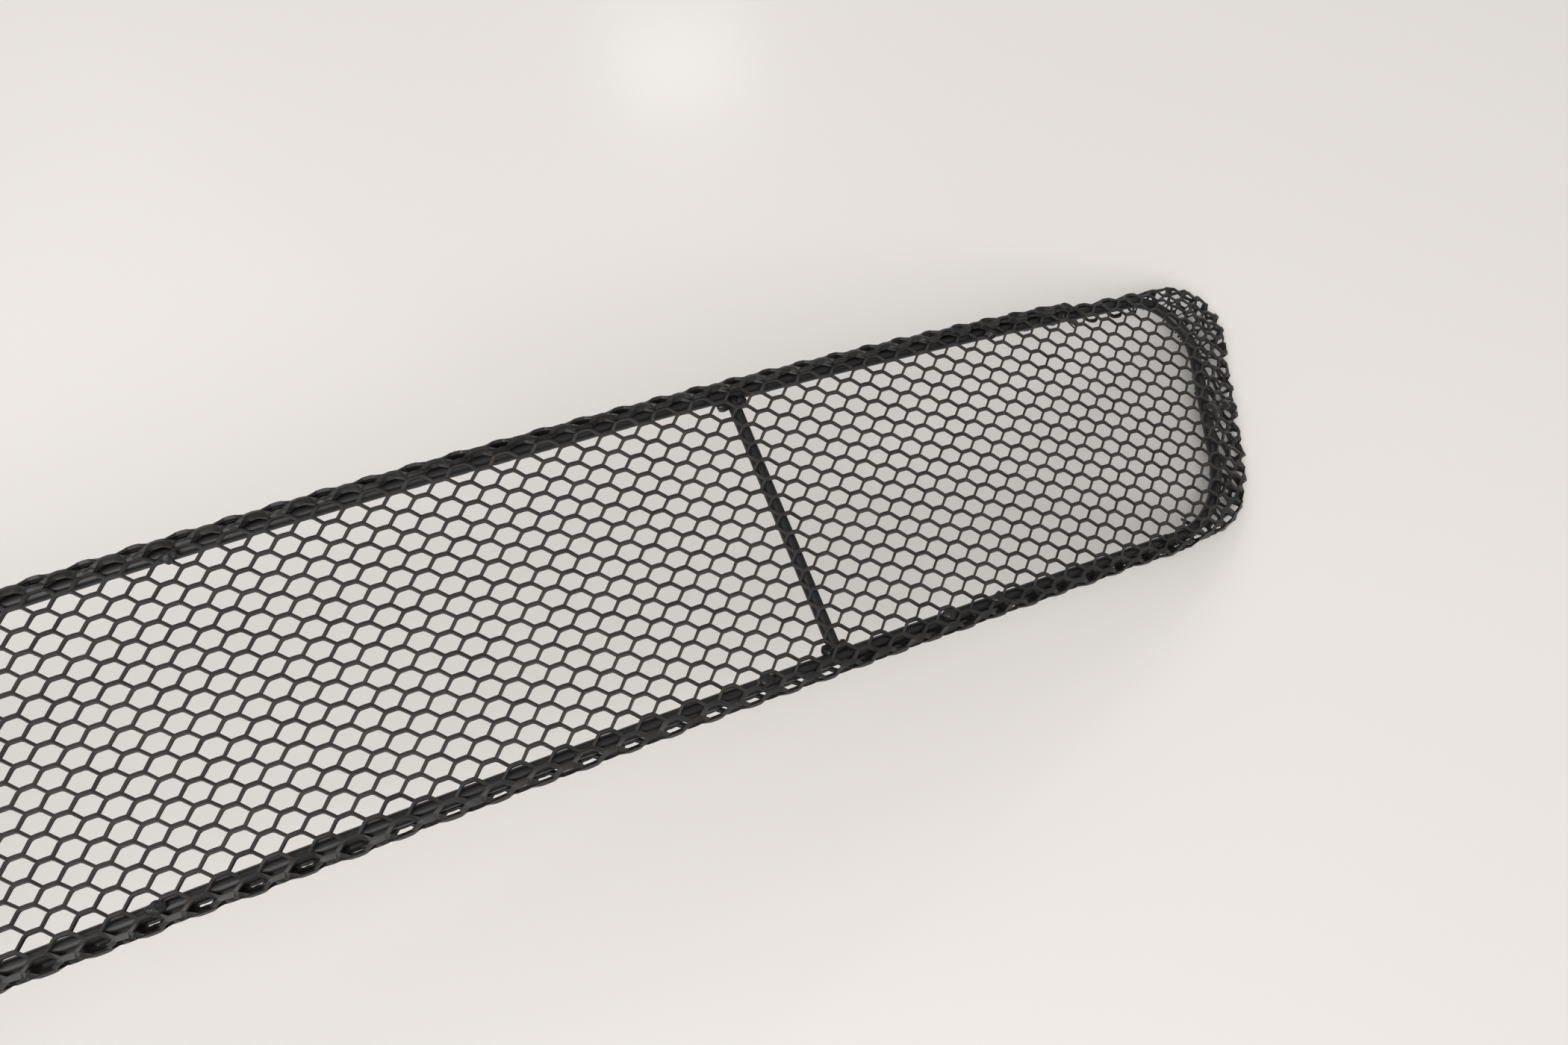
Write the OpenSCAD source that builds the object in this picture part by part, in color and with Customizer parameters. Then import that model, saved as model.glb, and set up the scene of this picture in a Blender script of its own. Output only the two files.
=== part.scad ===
// Bumper mesh grille: a rod frame, bowed along its length, covered by hemmed expanded mesh.
// X runs along the grille, +Y towards its longer rail, +Z out of its front face.
// It lies as on a table: on the folded edges of its two slanted ends, origin on the table.

/* [Bow] */
// Radius of the bow along the grille's length, at the rods' centre lines
bow_radius = 1200; // [900:10:2000]
// Arc length from the middle of the grille to where the flat ends begin
bowed_half = 445; // [400:1:470]

/* [Rod frame] */
// Diameter of every frame rod and brace
rod_d = 4; // [3.5:0.1:4.5]
// Distance between the two rails, centre to centre
rail_spacing = 85.7; // [70:0.1:110]
// Distance from the bowed part to the slanted end rod, at mid height
end_reach = 45.8; // [42:0.1:54]
// Slant of the end rod, away from square to the rails
end_slant = 21.3; // [15:0.1:24]
// Centre-line radius of the bend at the longer rail
upper_bend_r = 19.5; // [12:0.1:24]
// Centre-line radius of the bend at the shorter rail
lower_bend_r = 35.7; // [25:0.1:40]
// Arc length from the middle of the grille to each outer brace
brace_place = 316.7; // [200:0.1:340]

/* [Mesh] */
// Thickness of the expanded mesh sheet over its strands
mesh_t = 1.2; // [0.8:0.1:1.6]
// Thickness of the pressed double fold around the longer rail
upper_hem_t = 2.6; // [2.0:0.1:3.2]
// How far the looser fold stands off the shorter rail's rod
lower_hem_gap = 2.2; // [1:0.1:3]
// How far both folds run back behind the rails
hem_return = 3; // [2:0.5:6]
// Distance from the bowed part to the fold of the end flange, at mid height
flange_reach = 62.6; // [58:0.1:70]
// Slant of the end flange's fold
flange_slant = 24.2; // [20:0.1:26]
// Corner radius of the end flange at the longer rail
flange_upper_r = 16.6; // [10:0.1:20]
// Corner radius of the end flange at the shorter rail
flange_lower_r = 33; // [25:0.1:36]

/* [Welds] */
// Gap that a butt weld fills between two rod ends
weld_gap = 1.6; // [1:0.1:3]
// How far a weld bead stands proud of its rod
bead_h = 1.3; // [0.8:0.1:1.6]
// Leg of the fillet weld at each foot of a brace
fillet_leg = 2.6; // [1.5:0.1:3.5]
// Radius of a tack weld that holds the mesh down
tack_r = 2.2; // [1.5:0.1:2.4]
// Arc lengths from the middle of the grille to the tack welds on the shorter rail
lower_tacks = [134, 293, 354, 372];
// Arc lengths from the middle of the grille to the tack welds on the longer rail
upper_tacks = [0, 158, 412];
// Height of the run of tack welds across each end flange
flange_tack_y = -3; // [-20:1:20]
// Distances of those tack welds from the end rod's centre line
flange_tacks = [0, 7, 13];

/* [Hidden] */

round_fn = 64;
bow_fn = 720;
reach_past = 60;
// Parts of the mesh sheet run this far into each other, so that they join.
lap = 0.5;
// Half the length of the collar where a straight rod meets a bend, and how proud it stands.
seam = 0.4;
collar_h = 0.02;
// Gap between the thick end of the upper hem and the flange that carries on from it.
hem_clearance = 0.02;
// How proud each rounded corner of the mesh stands, so that it crosses the straight edges.
corner_proud = 0.01;

coated_rod = [0.16, 0.15, 0.16];
coated_mesh = [0.24, 0.22, 0.22];
coated_weld = [0.20, 0.19, 0.20];

rod_r = rod_d / 2;
half = rail_spacing / 2;
front = rod_r + mesh_t;
upper_hem_r = rod_r + upper_hem_t;
lower_fold_y = -half - lower_hem_gap;
flange_half = half + front;

function arc_angle(length) = length / bow_radius * 180 / PI;
end_angle = arc_angle(bowed_half);
gap_angle = arc_angle(weld_gap / 2);

// The grille leans back until the slanted folds of both end flanges lie flat on the table.
rest_lean = atan(tan(flange_slant) * sin(end_angle));
bow_drop = bow_radius * (1 - cos(end_angle));
base_drop = cos(rest_lean) * (bow_drop + flange_reach * sin(end_angle) + front * cos(end_angle));

// Corner points of an end outline. A straight side slants by a, at x = reach + y * tan(a), and
// is rounded into level edges at y = h (radius r, upper) and y = -h (radius r, lower).
function upper_centre(reach, a, h, r) = [reach + h * tan(a) - r * tan((90 + a) / 2), h - r];
function lower_centre(reach, a, h, r) = [reach - h * tan(a) - r * tan((90 - a) / 2), r - h];
function side_point(centre, a, r) = centre + r * [cos(a), -sin(a)];

upper_bend = upper_centre(end_reach, end_slant, half, upper_bend_r);
lower_bend = lower_centre(end_reach, end_slant, half, lower_bend_r);
side_top = side_point(upper_bend, end_slant, upper_bend_r);
side_bottom = side_point(lower_bend, end_slant, lower_bend_r);

flange_top = upper_centre(flange_reach, flange_slant, flange_half, flange_upper_r);
top_reach = flange_half * cos(rest_lean)
    + (bow_drop + flange_top[0] * sin(end_angle)) * sin(rest_lean);
bottom_reach = -lower_fold_y * cos(rest_lean) + front;
y_middle = (top_reach - bottom_reach) / 2;

// Sets the whole grille down on the table with its origin under the middle of its box.
module at_rest() {
    translate([0, -y_middle, base_drop]) rotate([rest_lean, 0, 0]) children();
}

// Sweeps a profile drawn in (radius, y) along the bow, between two angles from the crown.
module bowed(from, to) {
    translate([0, 0, -bow_radius]) rotate([0, -90, -90]) rotate([0, 0, from])
        rotate_extrude(angle = to - from, $fn = bow_fn) children();
}

// Places what is drawn at the crown at an arc length along the bow.
module along(length) {
    translate([0, 0, -bow_radius]) rotate([0, arc_angle(length), 0])
        translate([0, 0, bow_radius]) children();
}

// Sides are 1 for the right-hand end and -1 for the left.
module on_side(side) {
    if (side > 0) children();
    else mirror([1, 0, 0]) children();
}

module at_end(side) {
    on_side(side) along(bowed_half) children();
}

module rod_profile(y) {
    translate([bow_radius, y]) circle(rod_r, $fn = round_fn);
}

// A rod between two points of an end's plane, with a faint collar at its far end where a
// bend takes over. Rod and bend both stop inside the collar.
module straight_rod(p, q, collars = 1) {
    length = norm(q - p);
    translate([p[0], p[1], 0]) rotate([0, 90, atan2(q[1] - p[1], q[0] - p[0])]) {
        translate([0, 0, collars > 1 ? seam / 2 : 0])
            cylinder(h = length - seam / 2 * collars, r = rod_r, $fn = round_fn);
        for (end = collars > 1 ? [0, length] : [length])
            translate([0, 0, end - seam]) cylinder(h = 2 * seam, r = rod_r + collar_h, $fn = round_fn);
    }
}

module bent_rod(centre, bend_r, from, turn) {
    short = seam / 2 / bend_r * 180 / PI;
    translate([centre[0], centre[1], 0]) rotate([0, 0, from + short])
        rotate_extrude(angle = turn - 2 * short, $fn = round_fn * 2)
            translate([bend_r, 0]) circle(rod_r, $fn = round_fn);
}

// The face of an end outline, from the bowed part out to its slanted side.
module end_face(reach, a, h, r_up, r_low) {
    cu = upper_centre(reach, a, h, r_up);
    cl = lower_centre(reach, a, h, r_low);
    intersection() {
        translate([-lap, -h]) square([reach + reach_past, 2 * h]);
        union() {
            polygon([[-lap, h], [cu[0], h], side_point(cu, a, r_up), side_point(cl, a, r_low),
                [cl[0], -h], [-lap, -h]]);
            translate(cu) circle(r_up + corner_proud, $fn = round_fn * 2);
            translate(cl) circle(r_low + corner_proud, $fn = round_fn * 2);
        }
    }
}

module rod_end_face() {
    end_face(end_reach, end_slant, half, upper_bend_r, lower_bend_r);
}

// Rod frame

module rail(y) {
    reach = end_angle - gap_angle;
    color(coated_rod) at_rest() bowed(-reach, reach) rod_profile(y);
}

module end_rod(side) {
    color(coated_rod) at_rest() at_end(side) {
        straight_rod([weld_gap / 2, half], [upper_bend[0], half]);
        bent_rod(upper_bend, upper_bend_r, -end_slant, 90 + end_slant);
        straight_rod(side_bottom, side_top, collars = 2);
        bent_rod(lower_bend, lower_bend_r, -90, 90 - end_slant);
        straight_rod([weld_gap / 2, -half], [lower_bend[0], -half]);
    }
}

// A butt weld along X: a disc that fills the gap, and a round bead over both rod ends.
module butt_bead() {
    rotate([0, 90, 0]) rotate_extrude($fn = round_fn) {
        translate([0, -weld_gap / 2]) square([rod_r, weld_gap]);
        intersection() {
            translate([rod_r, 0]) circle(bead_h, $fn = round_fn);
            translate([rod_r, -bead_h]) square(2 * bead_h);
        }
    }
}

// Beads stay level with the rod at the front and back, where the mesh lies on them.
module between_layers(from_y, height) {
    intersection() {
        children();
        translate([-reach_past / 2, from_y, -rod_r]) cube([reach_past, height, rod_d]);
    }
}

module butt_weld(side, y) {
    color(coated_weld) at_rest() at_end(side) translate([0, y, 0])
        between_layers(y > 0 ? rod_r - 2 * rod_d : -rod_r, 2 * rod_d) butt_bead();
}

// Braces, square across the frame, and the fillets at their feet

module brace(place) {
    color(coated_rod) at_rest() along(place) difference() {
        translate([0, half, 0]) rotate([90, 0, 0]) cylinder(h = 2 * half, r = rod_r, $fn = round_fn);
        for (rail = [-half, half]) translate([-rod_d, rail, 0]) rotate([0, 90, 0])
            cylinder(h = 2 * rod_d, r = rod_r, $fn = round_fn);
    }
}

module brace_weld(place, rail) {
    toe = rod_r + fillet_leg;
    color(coated_weld) at_rest() along(place) translate([0, sign(rail) * half, 0])
        between_layers(rail > 0 ? -2 * rod_d : 0, 2 * rod_d) difference() {
            rotate([rail > 0 ? 90 : -90, 0, 0]) rotate_extrude($fn = round_fn)
                polygon([[rod_r, 0], [toe, 0], [toe, rod_r / 2], [rod_r, toe]]);
            translate([-toe - 1, 0, 0]) rotate([0, 90, 0])
                cylinder(h = 2 * toe + 2, r = rod_r, $fn = round_fn);
        }
}

// Mesh sheet, drawn as the space that its strands fill

module mesh_panel() {
    color(coated_mesh) at_rest() {
        bowed(-end_angle, end_angle) translate([bow_radius + rod_r, -half]) square([mesh_t, 2 * half]);
        for (side = [-1, 1]) at_end(side) translate([0, 0, rod_r])
            linear_extrude(mesh_t) rod_end_face();
    }
}

// Profile of the pressed fold around the longer rail, in (height over the rod's centre, y).
module upper_hem_profile() {
    difference() {
        union() {
            circle(upper_hem_r, $fn = round_fn);
            translate([-upper_hem_r, -hem_return]) square([upper_hem_t, hem_return]);
        }
        circle(rod_r, $fn = round_fn);
        translate([-rod_r, -upper_hem_r]) square([2 * upper_hem_r, upper_hem_r]);
        translate([-2 * upper_hem_r, -3 * upper_hem_r])
            square([3 * upper_hem_r, 3 * upper_hem_r - hem_return]);
    }
}

module upper_hem() {
    color(coated_mesh) at_rest()
        bowed(-end_angle, end_angle) translate([bow_radius, half]) upper_hem_profile();
}

// Profile of the looser fold around the shorter rail: a flat loop that is open to the rod.
module loop_profile(r) {
    circle(r, $fn = round_fn);
    translate([0, -lower_hem_gap]) circle(r, $fn = round_fn);
    translate([-r, -lower_hem_gap]) square([2 * r, lower_hem_gap]);
}

module lower_hem_profile() {
    difference() {
        union() {
            loop_profile(front);
            translate([-front, 0]) square([mesh_t, hem_return]);
        }
        loop_profile(rod_r);
        translate([-rod_r, 0]) square([2 * front, 2 * front]);
        translate([-2 * front, hem_return]) square([4 * front, 2 * front]);
    }
}

module lower_hem() {
    color(coated_mesh) at_rest()
        bowed(-end_angle, end_angle) translate([bow_radius, -half]) lower_hem_profile();
}

// The band between the end rod's centre line and the flange's fold.
module flange_face() {
    difference() {
        end_face(flange_reach, flange_slant, flange_half, flange_upper_r, flange_lower_r);
        rod_end_face();
        translate([-reach_past, 0]) square([reach_past + hem_clearance, reach_past]);
        translate([-reach_past, -reach_past]) square([reach_past + lower_bend[0], reach_past]);
    }
}

// The strip along the fold itself, one mesh thickness wide.
module fold_face() {
    difference() {
        flange_face();
        end_face(flange_reach - mesh_t, flange_slant, flange_half - mesh_t,
            flange_upper_r - mesh_t, flange_lower_r - mesh_t);
    }
}

// The flange folds out past the end rod and back behind it: two layers joined at the fold.
module end_flange(side) {
    color(coated_mesh) at_rest() at_end(side) {
        translate([0, 0, rod_r]) linear_extrude(mesh_t) flange_face();
        translate([0, 0, -rod_r]) linear_extrude(2 * rod_r) fold_face();
        translate([0, 0, -front]) linear_extrude(mesh_t) flange_face();
    }
}

// Tack welds that hold the mesh to the rods, one group for each edge

module dome(r) {
    intersection() {
        sphere(r, $fn = round_fn);
        translate([-r, -r, 0]) cube([2 * r, 2 * r, r]);
    }
}

module upper_tack_welds() {
    places = concat(upper_tacks, [for (p = upper_tacks) if (p > 0) -p]);
    color(coated_weld) at_rest() for (p = places) along(p) translate([0, half, 0]) difference() {
        rotate([-30, 0, 0]) translate([0, 0, upper_hem_r]) sphere(tack_r, $fn = round_fn);
        translate([-2 * tack_r, 0, 0]) rotate([0, 90, 0])
            cylinder(h = 4 * tack_r, r = upper_hem_r, $fn = round_fn);
    }
}

module lower_tack_welds() {
    color(coated_weld) at_rest() for (p = lower_tacks, side = [-1, 1])
        along(side * p) translate([0, -half, front]) dome(tack_r);
}

module flange_tack_welds(side) {
    start = end_reach + flange_tack_y * tan(end_slant);
    color(coated_weld) at_rest() at_end(side) for (out = flange_tacks)
        translate([start + out, flange_tack_y, front]) dome(tack_r);
}

rail(half);  // upper_rail
rail(-half);  // lower_rail
end_rod(-1);  // left_end_rod
end_rod(1);  // right_end_rod
butt_weld(-1, half);  // left_upper_butt_weld
butt_weld(-1, -half);  // left_lower_butt_weld
butt_weld(1, half);  // right_upper_butt_weld
butt_weld(1, -half);  // right_lower_butt_weld
brace(-brace_place);  // left_brace
brace(0);  // centre_brace
brace(brace_place);  // right_brace
brace_weld(-brace_place, 1);  // left_brace_upper_weld
brace_weld(-brace_place, -1);  // left_brace_lower_weld
brace_weld(0, 1);  // centre_brace_upper_weld
brace_weld(0, -1);  // centre_brace_lower_weld
brace_weld(brace_place, 1);  // right_brace_upper_weld
brace_weld(brace_place, -1);  // right_brace_lower_weld
mesh_panel();
upper_hem();
lower_hem();
end_flange(-1);  // left_end_flange
end_flange(1);  // right_end_flange
upper_tack_welds();
lower_tack_welds();
flange_tack_welds(-1);  // left_flange_tack_welds
flange_tack_welds(1);  // right_flange_tack_welds
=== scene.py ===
# %% [markdown]
# # A bumper mesh grille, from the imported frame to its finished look
#
# The object is a mesh insert for a car's bumper opening. A frame of 4 mm steel rod is bent round
# and bowed along its length, three braces cross it, one sheet of hexagonal expanded mesh lies over
# it, and the sheet's margins are rolled or folded round the rods and welded down. Everything then
# gets a black powder coat.
#
# Each cell below makes one step. A text cell says what the thing is and why it is made that way.
# Lengths are in millimetres while we work, because the real parts are sized in millimetres, and
# turn into metres when a mesh is stored.

# %% Load the frame
import math

import bmesh
import bpy
import numpy as np
from mathutils import Matrix, Vector


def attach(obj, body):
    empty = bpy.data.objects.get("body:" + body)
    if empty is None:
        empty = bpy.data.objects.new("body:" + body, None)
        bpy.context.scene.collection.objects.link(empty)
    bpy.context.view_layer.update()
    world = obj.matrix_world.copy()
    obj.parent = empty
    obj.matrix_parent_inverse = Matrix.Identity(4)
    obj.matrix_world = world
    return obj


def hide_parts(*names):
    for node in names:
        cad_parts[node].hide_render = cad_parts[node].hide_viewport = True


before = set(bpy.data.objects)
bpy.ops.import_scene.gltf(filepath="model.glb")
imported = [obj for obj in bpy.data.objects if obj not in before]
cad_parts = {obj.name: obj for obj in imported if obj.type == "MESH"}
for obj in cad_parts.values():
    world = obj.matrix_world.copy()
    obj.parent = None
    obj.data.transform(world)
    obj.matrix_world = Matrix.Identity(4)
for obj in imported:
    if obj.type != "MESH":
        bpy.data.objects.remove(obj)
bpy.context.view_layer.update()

# %% [markdown]
# ## The sizes that shape everything
#
# These repeat the driving sizes of the CAD source. The frame's rods are the master shape: the mesh
# lies on them, so each mesh size below is told as a distance from a rod's centre line.

# %% Sizes, in millimetres
MM = 0.001
BOW_RADIUS = 1200.0
BOWED_HALF = 445.0
HALF_WIDTH = 42.85
ROD_RADIUS = 2.0
END_REACH, END_SLANT, UPPER_BEND, LOWER_BEND = 45.8, 21.3, 19.5, 35.7
FOLD_REACH, FOLD_SLANT, FOLD_UPPER, FOLD_LOWER = 62.6, 24.2, 16.6, 33.0
# Rod radius and the sheet's 1.2 mm together: how far the rim reaches from a rod's centre line.
RIM_REACH = 3.2
FOLD_HALF = HALF_WIDTH + RIM_REACH
BRACE_PLACES = {"left_brace": -316.7, "centre_brace": 0.0, "right_brace": 316.7}
# Middle of the sheet over the rods' centre lines.
LAYER_HEIGHT = 2.6
# How far the shorter rail's looser hem stands off, and what is taken off so it stays in the box.
LOWER_LOOP, LOOP_TRIM = 2.2, 0.45
HEM_RETURN = 3.0

BOW_ANGLE = BOWED_HALF / BOW_RADIUS
REST_LEAN = math.atan(math.tan(math.radians(FOLD_SLANT)) * math.sin(BOW_ANGLE))
BOW_DROP = BOW_RADIUS * (1 - math.cos(BOW_ANGLE))
BASE_DROP = math.cos(REST_LEAN) * (
    BOW_DROP + FOLD_REACH * math.sin(BOW_ANGLE) + RIM_REACH * math.cos(BOW_ANGLE)
)
# Shift that puts the origin under the middle of the grille at rest.
Y_MIDDLE = 7.1283
# Half the gap between two rod ends, which a butt weld fills.
HALF_WELD_GAP = 0.8
print(f"bow drop {BOW_DROP:.2f} mm, lean {math.degrees(REST_LEAN):.2f} degrees, "
      f"lift {BASE_DROP:.2f} mm")

# %% [markdown]
# ## From a flat sheet to the bowed face
#
# A point of the unbent grille has three numbers: its distance along the grille, its distance across
# it, and its height over the rods' centre lines. One function bends such points: a circle of
# 1200 mm along the bowed part, then the straight tangent at each end. Everything below goes through
# it, so rods, mesh and welds can never drift apart.


# %% Bending function
def bent(along, across, height):
    """Points of the unbent grille, in millimetres, to their places at rest."""
    along, across, height = (np.asarray(a, float) for a in (along, across, height))
    side = np.where(along < 0, -1.0, 1.0)
    reach = np.abs(along)
    angle = np.minimum(reach, BOWED_HALF) / BOW_RADIUS
    past = np.maximum(reach - BOWED_HALF, 0.0)
    x = (BOW_RADIUS + height) * np.sin(angle) + past * np.cos(angle)
    z = (BOW_RADIUS + height) * np.cos(angle) - BOW_RADIUS - past * np.sin(angle)
    y_rest = across * math.cos(REST_LEAN) - z * math.sin(REST_LEAN) - Y_MIDDLE
    z_rest = across * math.sin(REST_LEAN) + z * math.cos(REST_LEAN) + BASE_DROP
    return np.stack([side * x, y_rest, z_rest], axis=-1)


print("crown of the bow at rest:", np.round(bent(0, 0, 0), 2), "mm")

# %% [markdown]
# ## The outline of an end
#
# At each end the frame's rod turns a corner, runs slanted across the grille and turns back. The
# fold of the mesh flange has the same kind of outline, further out. Both are a straight slanted
# side with two rounded corners, so one small class serves both. It tells, for any point, how far
# outside the outline it is and which way is out: that is all the folding needs.


# %% Rounded end outline
class EndOutline:
    """A slanted side with rounded corners, in the flat plane of an end."""

    def __init__(self, reach, slant, half, upper_r, lower_r):
        a = math.radians(slant)
        quarter = math.pi / 2
        self.half, self.upper_r, self.lower_r = half, upper_r, lower_r
        self.upper = np.array([
            reach + half * math.tan(a) - upper_r * math.tan((quarter + a) / 2), half - upper_r])
        self.lower = np.array([
            reach - half * math.tan(a) - lower_r * math.tan((quarter - a) / 2), lower_r - half])
        self.out = np.array([math.cos(a), -math.sin(a)])
        self.up = np.array([math.sin(a), math.cos(a)])
        self.side_point = self.upper + upper_r * self.out
        self.slant = a

    def distance(self, x, y):
        """Distance outside the outline, and the outward direction, for arrays of points."""
        x, y = np.asarray(x, float), np.asarray(y, float)
        near_upper = (x > self.upper[0]) & (
            (x - self.upper[0]) * self.up[0] + (y - self.upper[1]) * self.up[1] > 0)
        near_lower = (x > self.lower[0]) & (
            (x - self.lower[0]) * self.up[0] + (y - self.lower[1]) * self.up[1] < 0)
        top = (x <= self.upper[0]) & (y > 0)
        bottom = (x <= self.lower[0]) & (y <= 0)
        far = (x - self.side_point[0]) * self.out[0] + (y - self.side_point[1]) * self.out[1]
        nx, ny = np.full_like(x, self.out[0]), np.full_like(x, self.out[1])
        for mask, centre, r in ((near_upper, self.upper, self.upper_r),
                                (near_lower, self.lower, self.lower_r)):
            dx, dy = x - centre[0], y - centre[1]
            length = np.maximum(np.hypot(dx, dy), 1e-6)
            far = np.where(mask, length - r, far)
            nx, ny = np.where(mask, dx / length, nx), np.where(mask, dy / length, ny)
        far = np.where(top, y - self.half, np.where(bottom, -y - self.half, far))
        nx = np.where(top | bottom, 0.0, nx)
        ny = np.where(top, 1.0, np.where(bottom, -1.0, ny))
        return far, nx, ny

    def path(self, start, step):
        """Points along the outline, from the upper joint round to the lower one."""
        points = [np.array([start, self.half])]

        def straight(to):
            count = max(1, int(np.hypot(*(to - points[-1])) / step))
            begin = points[-1]
            points.extend(begin + (to - begin) * (k + 1) / count for k in range(count))

        def corner(centre, r, from_angle, to_angle):
            count = max(8, int(abs(to_angle - from_angle) * r / step))
            for k in range(1, count + 1):
                turn = from_angle + (to_angle - from_angle) * k / count
                points.append(centre + r * np.array([math.cos(turn), math.sin(turn)]))

        straight(np.array([self.upper[0], self.half]))
        corner(self.upper, self.upper_r, math.pi / 2, -self.slant)
        straight(self.lower + self.lower_r * self.out)
        corner(self.lower, self.lower_r, -self.slant, -math.pi / 2)
        straight(np.array([start, -self.half]))
        return np.array(points)


ROD_END = EndOutline(END_REACH, END_SLANT, HALF_WIDTH, UPPER_BEND, LOWER_BEND)
FOLD_END = EndOutline(FOLD_REACH, FOLD_SLANT, FOLD_HALF, FOLD_UPPER, FOLD_LOWER)
rod_path = ROD_END.path(HALF_WELD_GAP, 1.5)
print(f"end rod: {len(rod_path)} points, "
      f"{np.hypot(*np.diff(rod_path, axis=0).T).sum():.1f} mm long between its butt welds")

# %% [markdown]
# ## Helpers that store a mesh
#
# A finished piece keeps its place in its mesh, with its object at the origin. A tube is a ring of
# points carried along a path; the rings are set one by one, so they never twist, and both ends are
# closed with a flat face.


# %% Mesh helpers
def new_piece(name, verts_mm, faces, material, replaces, smooth=True):
    """Stores a mesh given in millimetres at rest, and hides the CAD nodes it stands for."""
    mesh = bpy.data.meshes.new(name)
    verts = np.asarray(verts_mm, float) * MM
    mesh.from_pydata([tuple(v) for v in verts], [], [tuple(f) for f in faces])
    mesh.validate()
    if smooth:
        mesh.shade_smooth()
    mesh.materials.append(material)
    piece = bpy.data.objects.new(name, mesh)
    bpy.context.scene.collection.objects.link(piece)
    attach(piece, "root")
    for node in replaces:
        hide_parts(node)
    return piece


def tube(points, radius, sides=24):
    """Vertices and faces of a round tube along points, closed at both ends."""
    points = np.asarray(points, float)
    tangents = np.gradient(points, axis=0)
    tangents /= np.linalg.norm(tangents, axis=1)[:, None]
    guide = np.array([0.0, 0.0, 1.0])
    if abs(tangents[0] @ guide) > 0.9:
        guide = np.array([0.0, 1.0, 0.0])
    rings, radii = [], np.broadcast_to(radius, len(points))
    for point, tangent, r in zip(points, tangents, radii):
        guide = guide - tangent * (guide @ tangent)
        guide /= np.linalg.norm(guide)
        other = np.cross(tangent, guide)
        turn = np.arange(sides) * 2 * math.pi / sides
        rings.append(point + r * (np.cos(turn)[:, None] * guide + np.sin(turn)[:, None] * other))
    verts = np.concatenate(rings)
    faces = []
    for k in range(len(points) - 1):
        for s in range(sides):
            a, b = k * sides + s, k * sides + (s + 1) % sides
            faces.append((a, b, b + sides, a + sides))
    faces.append(tuple(range(sides))[::-1])
    faces.append(tuple(range(len(verts) - sides, len(verts))))
    return verts, faces


# %% [markdown]
# ## Black powder coat
#
# The whole grille has one finish: a black powder coat. Baked powder is never a flat black.
# It has a fine orange-peel skin and it settles thicker in corners. Three materials share that recipe
# with different strengths: smooth round rod, sharp-edged mesh strands, and lumpy welds.
#
# One noise on object coordinates gives the colour and the roughness, because thinner coat is both
# paler and a little rougher. A finer one gives the bump. The mesh carries an attribute
# `painted_edge_highlight`, written when the strands are made: a painted highlight that turns one
# ridge of each strand paler, where its edge would catch the light, so it follows the strands and
# not the camera.


# %% Material recipe
def powder_coat(name, dark, pale, roughness, peel_mm, peel_depth, highlight_strength=0.0):
    """A black powder coat. peel_mm is the grain's size, peel_depth the bump's depth in mm."""
    material = bpy.data.materials.new(name)
    material.use_nodes = True
    nodes, links = material.node_tree.nodes, material.node_tree.links
    nodes.clear()
    output = nodes.new("ShaderNodeOutputMaterial")
    shader = nodes.new("ShaderNodeBsdfPrincipled")
    place = nodes.new("ShaderNodeTexCoord")

    def noise(size_mm, detail, seed_shift):
        shift = nodes.new("ShaderNodeMapping")
        shift.inputs["Location"].default_value = (seed_shift, 0.0, 0.0)
        texture = nodes.new("ShaderNodeTexNoise")
        texture.inputs["Scale"].default_value = 1.0 / (size_mm * MM)
        texture.inputs["Detail"].default_value = detail
        links.new(place.outputs["Object"], shift.inputs["Vector"])
        links.new(shift.outputs["Vector"], texture.inputs["Vector"])
        return texture.outputs["Fac"]

    def spread(value, low, high, to_low, to_high):
        node = nodes.new("ShaderNodeMapRange")
        node.inputs["From Min"].default_value, node.inputs["From Max"].default_value = low, high
        node.inputs["To Min"].default_value, node.inputs["To Max"].default_value = to_low, to_high
        links.new(value, node.inputs["Value"])
        return node.outputs["Result"]

    patches = noise(9.0, 3.0, 0.31)
    grain = noise(peel_mm, 2.0, 0.07)
    mix = nodes.new("ShaderNodeMix")
    mix.data_type = "RGBA"
    mix.inputs["A"].default_value = (*dark, 1.0)
    mix.inputs["B"].default_value = (*pale, 1.0)
    amount = spread(patches, 0.35, 0.70, 0.0, 0.55)
    # Painted highlight: the mesh's attribute lifts one ridge of each strand towards the pale colour.
    if highlight_strength > 0:
        edge = nodes.new("ShaderNodeAttribute")
        edge.attribute_name = "painted_edge_highlight"
        scaled = nodes.new("ShaderNodeMath")
        scaled.operation = "MULTIPLY_ADD"
        scaled.inputs[1].default_value = highlight_strength
        scaled.use_clamp = True
        links.new(edge.outputs["Fac"], scaled.inputs[0])
        links.new(amount, scaled.inputs[2])
        amount = scaled.outputs["Value"]
    links.new(amount, mix.inputs["Factor"])
    links.new(mix.outputs["Result"], shader.inputs["Base Color"])
    links.new(spread(patches, 0.3, 0.7, roughness - 0.06, roughness + 0.08),
              shader.inputs["Roughness"])
    bump = nodes.new("ShaderNodeBump")
    bump.inputs["Strength"].default_value = 0.55
    bump.inputs["Distance"].default_value = peel_depth * MM
    links.new(grain, bump.inputs["Height"])
    links.new(bump.outputs["Normal"], shader.inputs["Normal"])
    shader.inputs["IOR"].default_value = 1.42
    links.new(shader.outputs["BSDF"], output.inputs["Surface"])
    print(f"{name}: grain {peel_mm} mm, bump {peel_depth} mm, roughness about {roughness}")
    return material


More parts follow.
